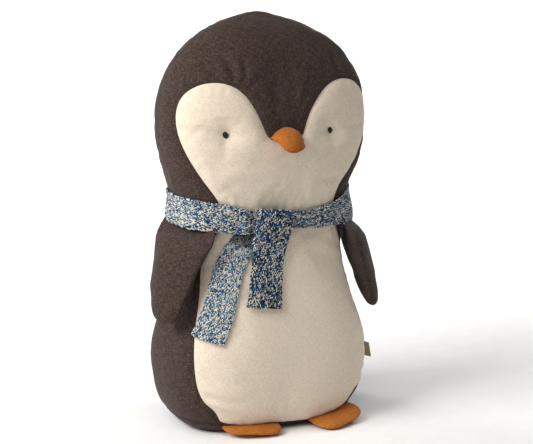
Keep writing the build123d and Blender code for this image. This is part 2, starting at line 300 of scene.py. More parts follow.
def body_profile(rows):
    """Rows of (z, half width, half depth) from the middle of the underside to the crown."""
    side = spline(STATIONS, 4 * rows)
    floor = np.linspace(0, 1, FLOOR_ROWS)[:-1, None] * STATIONS[0]
    crown = np.array([(HEIGHT + 0.5, 4.5, 2.5), (HEIGHT + 0.7, 0.01, 0.01)])
    whole = np.vstack([floor, side, crown])
    whole[0, 1:] = 0.01
    run = distance_along(whole)
    seam = np.interp(BASE_SEAM, whole[FLOOR_ROWS:, 0], run[FLOOR_ROWS:])
    # one row lies on the base seam
    low_rows = max(int(rows * seam / run[-1]), 4)
    below = np.linspace(0, seam, low_rows, endpoint=False)
    wanted = np.r_[below, np.linspace(seam, run[-1], rows - low_rows)]
    return np.stack([np.interp(wanted, run, whole[:, d]) for d in range(3)], 1), wanted, low_rows


def body_grid(rows, columns):
    """Points, cloth coordinates (around and up, in millimetres) and the base seam's row."""
    profile, run, seam_row = body_profile(rows)
    grid, cloth = np.zeros((rows, columns, 3)), np.zeros((rows, columns, 2))
    for r, (z, half_width, half_depth) in enumerate(profile):
        x, y, length = ring(max(half_width, 0.01), max(half_depth, 0.01), squareness(z), columns)
        grid[r] = np.stack([x, y, np.full(columns, z)], 1)
        around = np.arange(columns) * length / columns
        around = np.where(around > length / 2, around - length, around)
        cloth[r] = np.stack([around, np.full(columns, run[r])], 1)
    return grid, cloth, seam_row


def edge_distance(x, z, outline):
    """Signed distance to a closed outline mirrored about x = 0 (inside is positive), and place along it."""
    distance = np.full(x.shape, np.inf)
    along = np.zeros(x.shape)
    inside = np.zeros(x.shape, bool)
    px = np.abs(x)
    run = distance_along(outline)
    for k in range(len(outline) - 1):
        (x0, z0), (x1, z1) = outline[k], outline[k + 1]
        dx, dz = x1 - x0, z1 - z0
        t = np.clip(((px - x0) * dx + (z - z0) * dz) / (dx * dx + dz * dz), 0, 1)
        near = np.hypot(px - x0 - t * dx, z - z0 - t * dz)
        closer = near < distance
        distance = np.where(closer, near, distance)
        along = np.where(closer, run[k] + t * (run[k + 1] - run[k]), along)
        crosses = (z0 > z) != (z1 > z)
        where = x0 + (z - z0) * dx / (dz if dz else TINY)
        inside ^= crosses & (px < where)
    return np.where(inside, distance, -distance), along


def snap(field, *layers):
    """Moves grid points next to a zero of field onto it, along grid edges; returns field and layers."""
    rows, columns = field.shape
    best = np.full(field.shape, 0.5)
    step = np.zeros(field.shape + (2,), int)
    for axis, loop in ((1, True), (0, False)):
        ahead = np.roll(field, -1, axis)
        crosses = (field * ahead) < 0
        if not loop:
            crosses[-1] = False
        share = np.where(crosses, field / np.where(crosses, field - ahead, 1), 1)
        for forward in (True, False):
            t = share if forward else np.roll(1 - share, 1, axis)
            hit = crosses if forward else np.roll(crosses, 1, axis)
            nearer = hit & (t <= best)
            best = np.where(nearer, t, best)
            for d in range(2):
                value = (1 if forward else -1) if d == axis else 0
                step[..., d] = np.where(nearer, value, step[..., d])
    moved = np.any(step != 0, axis=-1)
    r, c = np.nonzero(moved)
    r2, c2 = (r + step[r, c, 0]) % rows, (c + step[r, c, 1]) % columns
    t = best[r, c][:, None]
    moved_layers = [layer.copy() for layer in layers]
    for layer in moved_layers:
        layer[r, c] = layer[r, c] * (1 - t) + layer[r2, c2] * t
    field = field.copy()
    field[r, c] = 0
    return field, *moved_layers


def split_quads(quads, field):
    """Quads on the positive side of field and quads on its other side, cut along its zeros."""
    sign = np.sign(field.ravel())[quads]
    plus, minus = (sign > 0).any(1), (sign < 0).any(1)
    inside, outside = [tuple(q) for q in quads[plus & ~minus]], [tuple(q) for q in quads[~plus]]
    for q, s in zip(quads[plus & minus], sign[plus & minus]):
        first = 0 if s[0] == 0 and s[2] == 0 else 1
        for k in (first, first + 2):
            triangle = (q[k % 4], q[(k + 1) % 4], q[(k + 2) % 4])
            (inside if s[(k + 1) % 4] > 0 else outside).append(triangle)
    return inside, outside


# the eyes' sideways places (left +, right -) and height
EYE_X, EYE_Z = {1: 42.1, -1: 49.0}, 245.9
# x and how far the hem sags there under the front of the belly
HEM_POINTS = [
    (-90, -1), (-72, -1), (-51, 0), (-34, 3), (-16, 3.6), (0, 4.4), (18, 5.2), (33, 3.6),
    (48, 1.0), (60, -2.0), (72, -5), (90, -5),
]
HEM_SAG = spline(HEM_POINTS, 90)
FRONT_OUTLINE = spline(PANEL_EDGE, 420)
SEAM_Y, SEAM_Z = spline(BACK_SEAM, 200).T


def seam_fields(points):
    """Signed distances to the front panel's seam and to the back seams, with the place along each."""
    x, y, z = np.moveaxis(points, -1, 0)
    # the pale panel reaches further round the belly on the penguin's left
    wide = (10 - 2.5 * smooth_step(z, 30, 55)) * (1 - smooth_step(z, 66, 118)) * smooth_step(z, 6, 20)
    wide *= x > 0
    # and both of its cheeks are a little uneven
    outer = smooth_step(np.abs(x), 45, 70)
    wide += np.where(x < 0, 1.2, 2.4) * outer * bell(z - 256, 26)
    wide -= 2.2 * (x > 0) * (1 - outer) * bell(z - 258, 16)
    front, along = edge_distance(np.maximum(np.abs(x) - wide, 0), z, FRONT_OUTLINE)
    front = np.where(y < 8, front, -60)
    back = y - np.interp(z, SEAM_Z, SEAM_Y)
    return front, along + np.where(x < 0, 500, 0), back


def soften(layer, passes):
    """A grid of values, closed along its second axis, averaged with its neighbours again and again."""
    layer = layer.copy()
    for _ in range(passes):
        layer = layer / 2 + (np.roll(layer, 1, 1) + np.roll(layer, -1, 1)) / 4
        layer[1:-1] = layer[1:-1] / 2 + (layer[2:] + layer[:-2]) / 4
    return layer


def body_simulated():
    """Shifts of the stuffed body's points by the simulation, on the fine grid."""
    grid, _, _ = body_grid(COARSE_ROWS, COARSE_COLUMNS)
    rows, columns = grid.shape[:2]
    flat = grid.reshape(-1, 3)
    front, _, back = seam_fields(flat)
    seam = np.maximum(bell(front, 5), bell(back, 5))
    seam = np.maximum(seam, bell(flat[:, 2] - BASE_SEAM, 5))
    neck = bell(flat[:, 2] - 178, 16) * 0.5
    floor = flat[:, 2] < 3
    hold = np.clip(0.07 + 0.6 * seam + neck, 0, 0.9)
    hold[floor] = 1.0
    # the poles are one point each
    index = np.arange(rows * columns).reshape(rows, columns)
    index[0], index[-1] = index[0, 0], index[-1, 0]
    faces = []
    for q in index.ravel()[grid_faces(rows, columns)]:
        faces.append(tuple(dict.fromkeys(q.tolist())))
    _, at_kept = np.unique(index, return_inverse=True)
    points, faces, hold = used_only(flat, faces, hold)
    moved = simulate("body_shape", points, faces, hold, 0.018, 2.5, 20, 3.0, bending=0.9)
    shift = moved[at_kept.ravel()].reshape(rows, columns, 3) - grid
    # the stuffing presses most of the small wrinkles flat
    calm = soften(shift, 14)
    return refine(calm + WRINKLES_LEFT * (shift - calm), FINE_ROWS, FINE_COLUMNS)


def settle(grid):
    """Shifts of the skin where the hem sags under the belly and the scarf draws in the left of the neck."""
    x, y, z = np.moveaxis(grid, -1, 0)
    sag = np.interp(x, HEM_SAG[:, 0], HEM_SAG[:, 1]) * smooth_step(-y, 2, 34)
    sag *= np.where(z < BASE_SEAM, z / BASE_SEAM, 1 - smooth_step(z, BASE_SEAM, 70))
    drawn = 3.6 * smooth_step(x, 25, 68) * bell(z - 198, 15)
    # the crown leans a little to the right and is flattened
    left = smooth_step(x, -30, 30)
    drawn += 3.4 * ((1 - left) * smooth_step(z, 284, 316) + left * smooth_step(z, 306, 328))
    drawn += 3.0 * smooth_step(z, 326, 340)
    sag += 1.6 * smooth_step(z, 322, 340)
    return np.stack([-drawn, 0 * x, -sag], -1)


def eye_hollow(points):
    """Depth of the pulls round the two tied eyes, with the creases that run from them."""
    x, y, z = np.moveaxis(points, -1, 0)
    depth = np.zeros(x.shape)
    for side in (-1, 1):
        dx, dz = x * side - EYE_X[side], z - EYE_Z
        reach = np.hypot(dx, dz * 1.15)
        depth += 3.8 * bell(reach, 11) + 1.7 * bell(reach, 4.5)
        lean = 0.10 * dx + (1.5 if side < 0 else -1.0) * smooth_step(dx, 0, 30)
        out = smooth_step(dx, 1, 8) * (1 - smooth_step(dx, 22, 38))
        depth += 0.9 * bell(dz - lean, 3.0) * out - 0.5 * bell(dz - lean - 6, 4.5) * out
        down = smooth_step(-dz, 1, 8) * (1 - smooth_step(-dz, 12, 26))
        depth += 0.5 * bell(dx - 1.5, 3.5) * down
        inner = smooth_step(-dx, 2, 8) * (1 - smooth_step(-dx, 12, 24))
        depth += 0.45 * bell(dz + 0.15 * dx + 1, 3.0) * inner
    return depth * (y < 0)


def crease(x, z, start, end, width, depth):
    """A soft fold along a line on the front or back of the body, fading at both ends."""
    (x0, z0), (x1, z1) = start, end
    length = math.hypot(x1 - x0, z1 - z0)
    ux, uz = (x1 - x0) / length, (z1 - z0) / length
    along = (x - x0) * ux + (z - z0) * uz
    share = along / length
    across = -(x - x0) * uz + (z - z0) * ux + 0.06 * length * np.sin(share * math.pi)
    fade = smooth_step(share, -0.1, 0.3) * (1 - smooth_step(share, 0.5, 1.1))
    return depth * fade * (bell(across, width) - 0.6 * bell(across - 1.9 * width, 1.6 * width))


# start and end (x, z), width and depth of the folds seen on the front of the body
FRONT_FOLDS = [
    ((-41, 287), (-46, 310), 3.2, 1.7), ((-34, 284), (-30, 306), 3.0, 1.2),
    ((-36, 280), (-14, 293), 3.4, 0.8), ((10, 262), (26, 300), 2.4, 0.7),
    ((52, 288), (46, 310), 3.0, 1.7), ((60, 287), (60, 306), 2.6, 1.4),
    ((36, 281), (18, 296), 3.0, 0.6), ((-78, 236), (-60, 226), 2.6, 0.8),
    ((-76, 60), (-40, 44), 4.5, 1.3), ((-66, 26), (-30, 20), 4.0, 1.6),
    ((-72, 37), (-30, 33), 3.6, 1.7), ((60, 22), (20, 17), 4.0, 1.2),
    ((74, 52), (48, 34), 4.5, 1.1), ((88, 36), (62, 30), 3.6, 1.8),
    ((-62, 140), (-40, 150), 3.4, 0.7), ((60, 146), (34, 158), 3.4, 0.9),
    ((-52, 206), (-22, 197), 3.6, 0.7), ((56, 208), (22, 197), 3.6, 0.8),
]
BACK_FOLDS = [
    ((-60, 60), (-14, 48), 5, 0.9), ((58, 74), (16, 66), 5, 0.8), ((-52, 205), (-12, 196), 4, 1.0),
    ((54, 208), (14, 198), 4, 1.0), ((-50, 150), (-10, 160), 4, 0.9),
    ((52, 148), (16, 158), 4, 0.8), ((30, 300), (8, 322), 4, 0.7),
    ((-34, 290), (-10, 310), 4, 0.7),
]


def body_cloth():
    """Points, cloth coordinates and seam fields of the finished body skin."""
    grid, cloth, seam_row = body_grid(FINE_ROWS, FINE_COLUMNS)
    front, along, back = seam_fields(grid)
    shift = body_simulated()
    shift *= 1 - 0.75 * bell(np.minimum(np.abs(front), np.abs(back)), 2.5)[..., None]
    shift[grid[..., 2] < 0.5] = 0
    points = smooth = grid + shift + settle(grid)
    normal = normals_of(grid)
    x, y, z = np.moveaxis(grid, -1, 0)
    depth = eye_hollow(grid)
    for folds, side in ((FRONT_FOLDS, y < 0), (BACK_FOLDS, y > 10)):
        for fold in folds:
            depth += crease(x, z, *fold) * side
    # the seams sink in, and the cloth beside them is gathered in small puckers
    seams = [
        (front, along),
        (back, z * 1.0),
        (np.where(y > 10, x, 60), z * 1.1 + 300),
        (z - BASE_SEAM, np.arctan2(y, x) * 75),
    ]
    for k, (distance, place) in enumerate(seams):
        where = np.stack([place, np.full_like(place, 40.0 * k), np.sign(distance) * 3], -1)
        pucker = 0.6 * value_noise(where, 3.2, 11 + k) + 0.7 * value_noise(where, 7.5, 31 + k)
        near = np.abs(distance)
        depth += 1.15 * bell(near, 1.3) + 0.35 * bell(near, 4.0)
        depth += (0.42 if k == 0 else 0.25) * pucker * np.exp(-near / 5.5) * (1 - bell(near, 0.9))
    depth += 0.3 * value_noise(grid, 26, 5) + 0.08 * value_noise(grid, 9, 6)
    floor = smooth_step(z, 0.5, 6)
    points = points - normal * (depth * floor)[..., None]
    points[..., 2] = np.maximum(points[..., 2], 0.05)
    return points, cloth, seam_row, front, back, smooth


# ---- materials -------------------------------------------------------------------------------------
def srgb(red, green, blue):
    """Linear colour from 0 to 255 display values."""

    def channel(v):
        v /= 255
        return v / 12.92 if v <= 0.04045 else ((v + 0.055) / 1.055) ** 2.4

    return channel(red), channel(green), channel(blue), 1.0


class Nodes:
    """A material's node tree, built up link by link."""

    def __init__(self, name):
        self.material = bpy.data.materials.new(name)
        self.material.use_nodes = True
        self.tree = self.material.node_tree
        self.shader = next(n for n in self.tree.nodes if n.type == "BSDF_PRINCIPLED")

    def feed(self, socket, value):
        """Links a socket into another, or sets its value."""
        if isinstance(value, bpy.types.NodeSocket):
            self.tree.links.new(value, socket)
        else:
            socket.default_value = value

    def new(self, kind, inputs=None, **settings):
        node = self.tree.nodes.new(kind)
        for key, value in settings.items():
            setattr(node, key, value)
        for key, value in (inputs or {}).items():
            self.feed(node.inputs[key], value)
        return node

    def cloth(self):
        """Place on the cloth, in millimetres."""
        return self.new("ShaderNodeUVMap", uv_map="cloth").outputs[0]

    def place(self):
        """Place in space, in metres."""
        return self.new("ShaderNodeTexCoord").outputs["Object"]

    def math(self, operation, first, second=0.5):
        return self.new("ShaderNodeMath", {0: first, 1: second}, operation=operation).outputs[0]

    def scaled(self, value, share, offset):
        return self.math("ADD", self.math("MULTIPLY", value, share), offset)

    def spiral(self, along, round_):
        """A wave that winds round a strand: along is its turn in radians for each millimetre."""
        parts = self.new("ShaderNodeSeparateXYZ", {0: self.cloth()})
        first = self.math("MULTIPLY", parts.outputs[0], along)
        turns = self.math("ADD", first, self.math("MULTIPLY", parts.outputs[1], round_))
        return self.math("SINE", turns)

    def noise(self, coordinates, scale, detail=3.0, roughness=0.5, stretch=(1, 1, 1)):
        mapping = self.new("ShaderNodeMapping", {"Vector": coordinates, "Scale": stretch})
        inputs = {"Vector": mapping.outputs[0], "Scale": scale, "Detail": detail, "Roughness": roughness}
        return self.new("ShaderNodeTexNoise", inputs).outputs[0]

    def ramp(self, value, stops):
        node = self.new("ShaderNodeValToRGB", {0: value})
        elements = node.color_ramp.elements
        while len(elements) < len(stops):
            elements.new(0.5)
        for element, (place, colour) in zip(elements, stops):
            element.position, element.color = place, colour
        return node.outputs[0]

    def mix(self, share, first, second, blend="MIX"):
        node = self.new("ShaderNodeMix", data_type="RGBA", blend_type=blend)
        for key, value in ((0, share), (6, first), (7, second)):
            self.feed(node.inputs[key], value)
        return node.outputs[2]

    def bump(self, height, strength, distance):
        inputs = {"Height": height, "Strength": strength, "Distance": distance}
        return self.new("ShaderNodeBump", inputs).outputs[0]

    def set(self, **inputs):
        for key, value in inputs.items():
            self.feed(self.shader.inputs[key.replace("_", " ")], value)
        return self.material


def grey(value):
    return value, value, value, 1


SLUB = 0.16  # thickness of a thread's slubs over their length


def linen(name, light, mid, deep, weave, fuzz, mottle, grain=0.8):
    """A plain-weave cloth with slubs, soft mottling and a faint fuzz; weave is its thread pitch in mm."""
    n = Nodes(name)
    cloth = n.cloth()
    place = n.place()
    fine, long_ = 1.0 / weave, SLUB / weave
    warp = n.noise(cloth, 1.0, 2.0, 0.55, (fine, long_, 1))
    weft = n.noise(cloth, 1.0, 2.0, 0.55, (long_, fine, 1))
    threads = n.math("ADD", n.math("MULTIPLY", warp, 0.5), n.math("MULTIPLY", weft, 0.5))
    blotches = n.noise(place, 38, 4.0, 0.6)
    specks = n.noise(place, 1300, 2.0, 0.7)
    colour = n.ramp(threads, [(0.36, deep), (0.5, mid), (0.64, light)])
    patchy = n.ramp(blotches, [(0.3, grey(1 - mottle)), (0.7, grey(1 + mottle * 0.4))])
    colour = n.mix(1.0, colour, patchy, "MULTIPLY")
    flecks = n.ramp(specks, [(0.40, grey(0.84)), (0.56, grey(1.0)), (0.68, grey(1.35))])
    colour = n.mix(grain, colour, flecks, "MULTIPLY")
    rough = n.scaled(specks, 0.2, 0.74)
    height = n.math("ADD", threads, n.math("MULTIPLY", specks, 0.5))
    return n.set(
        Base_Color=colour,
        Roughness=rough,
        Normal=n.bump(height, 0.35, 0.0004),
        Sheen_Weight=fuzz,
        Sheen_Roughness=0.5,
        Specular_IOR_Level=0.12,
    )


CREAM_SHADES = srgb(235, 222, 205), srgb(227, 213, 195), srgb(216, 200, 180)
CREAM = linen("cream_linen", *CREAM_SHADES, 0.55, 0.05, 0.03, grain=0.4)
DARK = linen("dark_linen", srgb(89, 74, 68), srgb(64, 51, 47), srgb(40, 32, 29), 0.7, 0.06, 0.08)


# ---- body pieces -----------------------------------------------------------------------------------
def build_body():
    """The panels of the body's cover, cut from one skin along its seams."""
    points, cloth, seam_row, front, back, smooth = body_cloth()
    rows, columns = front.shape
    front, points, cloth, back = snap(front, points, cloth, back[..., None])
    back = back[..., 0]
    back, points, cloth = snap(back, points, cloth)
    points[0], points[-1] = points[0].mean(0), points[-1].mean(0)
    quads = grid_faces(rows, columns)
    below = quads[:, 0] // columns < seam_row
    base = [tuple(q) for q in quads[below]]
    cream, dark = split_quads(quads[~below], front)
    dark_quads = np.array([f for f in dark if len(f) == 4])
    hood = [f for f in dark if len(f) == 3]
    behind, ahead = split_quads(dark_quads, back)
    hood += ahead
    half = columns // 2
    left, right = [], []
    for face in behind:
        (left if all(1 <= i % columns <= half for i in face) else right).append(face)
    pieces = (
        ("front_cloth", cream, CREAM, ["front_panel"]),
        ("hood_cloth", hood, DARK, ["hood_panel", "body_fill"]),
        ("back_left_cloth", left, DARK, ["back_panel_left"]),
        ("back_right_cloth", right, DARK, ["back_panel_right"]),
        ("base_cloth", base, DARK, ["base_panel"]),
    )
    flat, uv = points.reshape(-1, 3), cloth.reshape(-1, 2)
    for name, faces, material, nodes in pieces:
        kept, kept_faces, kept_uv = used_only(flat, faces, uv)
        obj = make_object(name, kept, kept_faces, kept_uv)
        obj.data.materials.append(material)
        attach(obj, "body")
        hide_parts(*nodes)
    return points, smooth


# ---- stuffed limbs -----------------------------------------------------------------------------------
def unit(vector):
    return vector / np.linalg.norm(vector)


def with_caps(rows, columns):
    """Faces of a grid closed round and at both ends."""
    caps = [tuple(range(columns - 1, -1, -1)), tuple(range((rows - 1) * columns, rows * columns))]
    return [tuple(q) for q in grid_faces(rows, columns)] + caps


def stuffed(name, grid, hold, pressure, reach, rows, columns):
    """A closed form of cloth and its shift when it is stuffed, both resampled to rows by columns."""
    faces = with_caps(*grid.shape[:2])
    growth, frames = 0.03, 18
    moved = simulate(name, grid.reshape(-1, 3), faces, hold.ravel(), growth, pressure, frames, reach)
    shift = soften(moved.reshape(grid.shape) - grid, 3)
    return refine(grid, rows, columns), refine(shift, rows, columns)


def cloth_of(grid):
    """Cloth coordinates of a closed grid, in millimetres: round it and along it."""
    across = np.linalg.norm(np.roll(grid, -1, 1) - grid, axis=2)
    along = np.linalg.norm(np.diff(grid, axis=0), axis=2).mean(1)
    u = np.cumsum(across, 1) - across
    v = np.r_[0, np.cumsum(along)]
    return np.stack([u, np.broadcast_to(v[:, None], u.shape)], -1)


def pucker_seam(grid, cloth, turn, sink, ripple, seed):
    """Sinks the edge seam at both ends of the sections and gathers the cloth beside it."""
    normal = normals_of(grid)
    near = np.abs(np.sin(turn))[None, :]
    run = cloth[..., 1]
    side = 50 * np.sign(np.cos(turn))[None, :] + 0 * run
    noise = value_noise(np.stack([run, side, 0 * run], -1), 3.4, seed)
    noise = noise + 0.8 * value_noise(grid, 7, seed + 1)
    depth = sink * bell(near, 0.10) + ripple * noise * np.exp(-near / 0.35)
    depth += 0.25 * value_noise(grid, 12, seed + 2)
    return grid - normal * depth[..., None]


def seam_hold(turn, rows, loose, width):
    """How firmly the simulation holds each point: more at the edge seam, where the turn's sine is nil."""
    return loose + 0.5 * bell(np.sin(turn), width)[None, :] + np.zeros((rows, 1))


def sewn_limb(name, grid, turn, hold, blow, size, seam, mirrored=False, lowest=None):
    """The object of a stuffed piece with its edge seam.

    blow is the pressure and the most that a point moves, size the finished rows and columns, and seam the
    depth, ripple and seed of the edge seam.
    """
    base, shift = stuffed(f"{name}_shape", grid, hold, *blow, *size)
    cloth = cloth_of(base)
    columns = len(turn)
    closed = np.r_[turn, turn[0] + columns * (turn[1] - turn[0])]
    fine_turn = np.interp(np.arange(size[1]) * columns / size[1], np.arange(columns + 1), closed)
    points = pucker_seam(base + shift, cloth, fine_turn, *seam)
    if lowest is not None:
        points[..., 2] = np.maximum(points[..., 2], lowest)
    if mirrored:
        points = points[:, ::-1] * np.array((-1, 1, 1))
        cloth = cloth[:, ::-1]
    return make_object(f"{name}_cloth", points.reshape(-1, 3), with_caps(*size), cloth.reshape(-1, 2))


def turn_of(columns):
    """Angles of the columns round a section."""
    return np.arange(columns) * 2 * math.pi / columns


def eased(first, last, rows):
    """Places from first to last, closer together towards the last."""
    return first + (last - first) * np.sin(np.linspace(0, math.pi / 2, rows))


def columns_at(table, places):
    """The table's other columns, interpolated at places along its first one."""
    return [np.interp(places, table[:, 0], table[:, d]) for d in range(1, table.shape[1])]


# root and tip of each wing on the left side; the right wing is mirrored
WING_LINES = {
    "left": (np.array((75.8, -14.2, 162.3)), np.array((94.6, -27.5, 92.0))),
    "right": (np.array((77.6, -12.6, 162.3)), np.array((95.8, -25.0, 94.5))),
}
WING_CHORD_ANGLE = math.radians(70)
# share of the wing's length, chord, thickness, shift towards the body and forward along the chord
WING_SECTIONS = np.array(
    [
        (-0.14, 60, 2.0, 7, 0.5), (-0.06, 65, 4.6, 4.6, 2), (0.0, 66, 9.0, 2.2, 4),
        (0.07, 65, 13.5, 0.6, 5), (0.18, 59, 16.5, 0, 4), (0.4, 50.5, 17, 0, 1.2),
        (0.62, 43.5, 17, 0, 0), (0.83, 33.5, 14, 0, 0), (0.93, 26, 10.5, 0, 0),
        (0.985, 16, 6.5, 0, 0), (1.01, 5, 2.0, 0, 0),
    ]
)


def build_wing(side):
    """One stuffed wing, sewn in at its top edge under the scarf."""
    sign = 1 if side == "left" else -1
    rows, columns = 34, 40
    turn = turn_of(columns)
    shares = np.linspace(WING_SECTIONS[0, 0], WING_SECTIONS[-1, 0], rows)
    sections = zip(shares, *columns_at(WING_SECTIONS, shares))
    wing_root, wing_tip = WING_LINES[side]
    axis = wing_tip - wing_root
    chord = np.array((math.cos(WING_CHORD_ANGLE), math.sin(WING_CHORD_ANGLE), 0))
    out = np.cross(chord, -unit(axis))
    out *= np.sign(out[0])
    lens = np.sign(np.sin(turn)) * np.abs(np.sin(turn)) ** 1.15
    grid = np.zeros((rows, columns, 3))
    for r, (share, width, thick, inward, forward) in enumerate(sections):
        middle = wing_root + axis * share - np.array((inward, 0, 0)) - chord * forward
        grid[r] = middle + chord * (width / 2 * np.cos(turn))[:, None] + out * (thick / 2 * lens)[:, None]
    hold = seam_hold(turn, rows, 0.1, 0.25)
    hold[shares < 0.03] = 0.9
    seam = 0.9, 0.28, 40 + (sign > 0)
    obj = sewn_limb(f"wing_{side}", grid, turn, hold, (2.5, 2.2), (133, 160), seam, sign < 0)
    obj.data.materials.append(DARK)
    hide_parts(f"wing_{side}_outer", f"wing_{side}_inner", f"wing_{side}_fill")
    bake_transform(obj)


FELT = linen("ochre_felt", srgb(200, 124, 50), srgb(182, 108, 38), srgb(154, 88, 28), 0.6, 0.1, 0.14)
BEAK_FELT = linen("beak_felt", srgb(186, 112, 44), srgb(168, 97, 34), srgb(140, 78, 24), 0.6, 0.1, 0.12)

# distance forward of the heel seam, half width, underside and top height
FOOT_SECTIONS = np.array(
    [
        (-4.0, 22.5, 7.2, 9.6), (-1.0, 23.5, 5.6, 9.6), (3, 24, 3.6, 9.7), (8, 24, 2.4, 9.7),
        (13, 23.3, 1.8, 9.0), (17.5, 21, 1.5, 7.9), (20.5, 17, 1.8, 6.6), (22.2, 11.5, 2.6, 5.4),
        (22.9, 4, 3.6, 4.4),
    ]
)
# each foot's sideways place, heel line, turn outward, shares of the full length and height, and the rise
# of its outer end
FEET = {
    "left": (45.4, -45.6, math.radians(21), 0.97, 0.9, 0.10),
    "right": (27.6, -47.0, math.radians(13), 0.70, 0.80, 0.05),
}
FOOT_CLEAR = 0.9  # under the sole


def build_foot(side):
    """One flat stuffed foot, sewn in at its heel under the hem."""
    sign = 1 if side == "left" else -1
    rows, columns = 22, 40
    turn = turn_of(columns)
    forward = eased(FOOT_SECTIONS[0, 0], FOOT_SECTIONS[-1, 0], rows)
    half, low, high = columns_at(FOOT_SECTIONS, forward)
    foot_x, heel_y, toe_out, long_share, high_share, rise = FEET[side]
    heel = np.array((math.cos(toe_out), math.sin(toe_out), rise))
    ahead = np.array((math.sin(toe_out), -math.cos(toe_out), 0))
    c, s = np.cos(turn), np.sin(turn)
    across = np.sign(c) * np.abs(c) ** 0.62
    up = np.sign(s) * np.abs(s) ** 0.9
    grid = np.zeros((rows, columns, 3))
    for r in range(rows):
        middle = (low[r] + high[r]) / 2 * high_share
        origin = np.array((foot_x, heel_y, middle)) + ahead * forward[r] * long_share
        grid[r] = origin + heel * (half[r] * across)[:, None]
        # the heel follows the curve of the hem
        curve = (across * half[r] / 24) ** 2 * (1 - forward[r] / 40)
        grid[r, :, 1] += 3.4 * curve * (0.3 + 0.7 * (across > 0))
        grid[r, :, 2] += (high[r] - low[r]) / 2 * high_share * up + FOOT_CLEAR
    grid, turn = grid[:, ::-1], turn[::-1]
    hold = seam_hold(turn, rows, 0.15, 0.3)
    hold[:4] = 0.9
    seam = 0.5, 0.35, 60 + (sign > 0)
    obj = sewn_limb(f"foot_{side}", grid, turn, hold, (2.0, 1.2), (85, 160), seam, sign < 0, lowest=0.3)
    obj.data.materials.append(FELT)
    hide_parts(f"foot_{side}_top", f"foot_{side}_sole", f"foot_{side}_fill")
    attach(obj, f"foot_{side}")


# share of the beak's length, half width, height above and below its middle line
BEAK_SECTIONS = np.array(
    [
        (-0.15, 13.6, 7.6, 5.2), (0.1, 13.2, 8.0, 5.0), (0.35, 11.7, 7.6, 4.9),
        (0.6, 10.2, 6.8, 4.6), (0.8, 8.8, 5.4, 4.2), (0.92, 6.8, 4.0, 3.0), (0.98, 4.0, 2.4, 2.0),
        (1.0, 1.2, 0.8, 0.8),
    ]
)
BEAK_BASE, BEAK_TIP = np.array((0, -46.5, 243.0)), np.array((-1.6, -67.0, 234.4))


def build_beak():
    """The stuffed beak: an upper and a lower cover with a seam round the edge."""
    rows, columns = 22, 36
    turn = turn_of(columns)
    share = eased(BEAK_SECTIONS[0, 0], 1, rows)
    half, high, low = columns_at(BEAK_SECTIONS, share)
    axis = BEAK_TIP - BEAK_BASE
    up = np.cross((1, 0, 0), unit(axis))
    up *= np.sign(up[2])
    c, s = np.cos(turn), np.sin(turn)
    grid = np.zeros((rows, columns, 3))
    for r in range(rows):
        arch = np.array((0, 0, 2.2 * math.sin(math.pi * max(share[r], 0))))
        pointed = 1.05 + 0.7 * (1 - share[r]) ** 2
        rise = np.where(s > 0, high[r], low[r]) * np.sign(s) * np.abs(s) ** pointed
        middle = BEAK_BASE + axis * share[r] + arch
        grid[r] = middle + np.array((1, 0, 0)) * (half[r] * c)[:, None] + up * rise[:, None]
    grid, turn = grid[:, ::-1], turn[::-1]
    hold = seam_hold(turn, rows, 0.15, 0.3)
    hold[:4] = 0.9
    obj = sewn_limb("beak", grid, turn, hold, (2.0, 1.0), (85, 144), (0.6, 0.4, 71))
    obj.data.materials.append(BEAK_FELT)
    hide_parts("beak_upper", "beak_lower", "beak_fill")
    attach(obj, "body")


# ---- threads and knitting ----------------------------------------------------------------------------
def strands(name, starts, middles, ends, normals, radius, colours, twins=None, sides=5):
    """Short plump lengths of yarn, each from a start by a middle to an end, as one mesh.

    colours and twins are the shades of each length's two plies.
    """
    starts, middles, ends = (np.asarray(p, float) for p in (starts, middles, ends))
    count = len(starts)
    along = ends - starts
    length = np.linalg.norm(along, axis=1, keepdims=True)
    along = along / length
    side = np.cross(along, normals)
    side /= np.linalg.norm(side, axis=1, keepdims=True)
    up = np.cross(side, along)
    turn = -math.pi / 2 + np.arange(sides) * 2 * math.pi / sides
    round_ = np.cos(turn)[None, :, None] * side[:, None] + np.sin(turn)[None, :, None] * up[:, None]
    rings = [
        middle[:, None] + radius * share * round_
        for middle, share in ((starts, 0.72), (middles, 1.0), (ends, 0.72))
    ]
    tips = [(starts - along * radius * 0.6)[:, None], (ends + along * radius * 0.6)[:, None]]
    points = np.concatenate(rings + tips, axis=1)
    each = 3 * sides + 2
    ring_uv = np.stack([np.zeros(sides), np.arange(sides) / sides], -1)
    uv = np.zeros((count, each, 2))
    for k in range(3):
        uv[:, k * sides : (k + 1) * sides] = ring_uv
        uv[:, k * sides : (k + 1) * sides, 0] += k * length / 2
    uv[:, -1, 0] = length[:, 0]
    uv[..., 0] += (np.arange(count) * 0.37 % 5)[:, None]
    pattern = []
    for k in range(sides):
        n = (k + 1) % sides
        for low in (0, sides):
            pattern.append((low + k, low + sides + k, low + sides + n, low + n))
        pattern.append((3 * sides, k, n))
        pattern.append((3 * sides + 1, 2 * sides + n, 2 * sides + k))
    faces = [tuple(k * each + i for i in f) for k in range(count) for f in pattern]
    obj = make_object(name, points.reshape(-1, 3), faces, uv.reshape(-1, 2))
    for key, values in zip(PLIES, (colours, colours if twins is None else twins)):
        layer = obj.data.color_attributes.new(key, "FLOAT_COLOR", "POINT")
        shades = np.ones((count, each, 4))
        shades[..., :3] = np.asarray(values)[:, None, :3]
        layer.data.foreach_set("color", shades.ravel())
    return obj


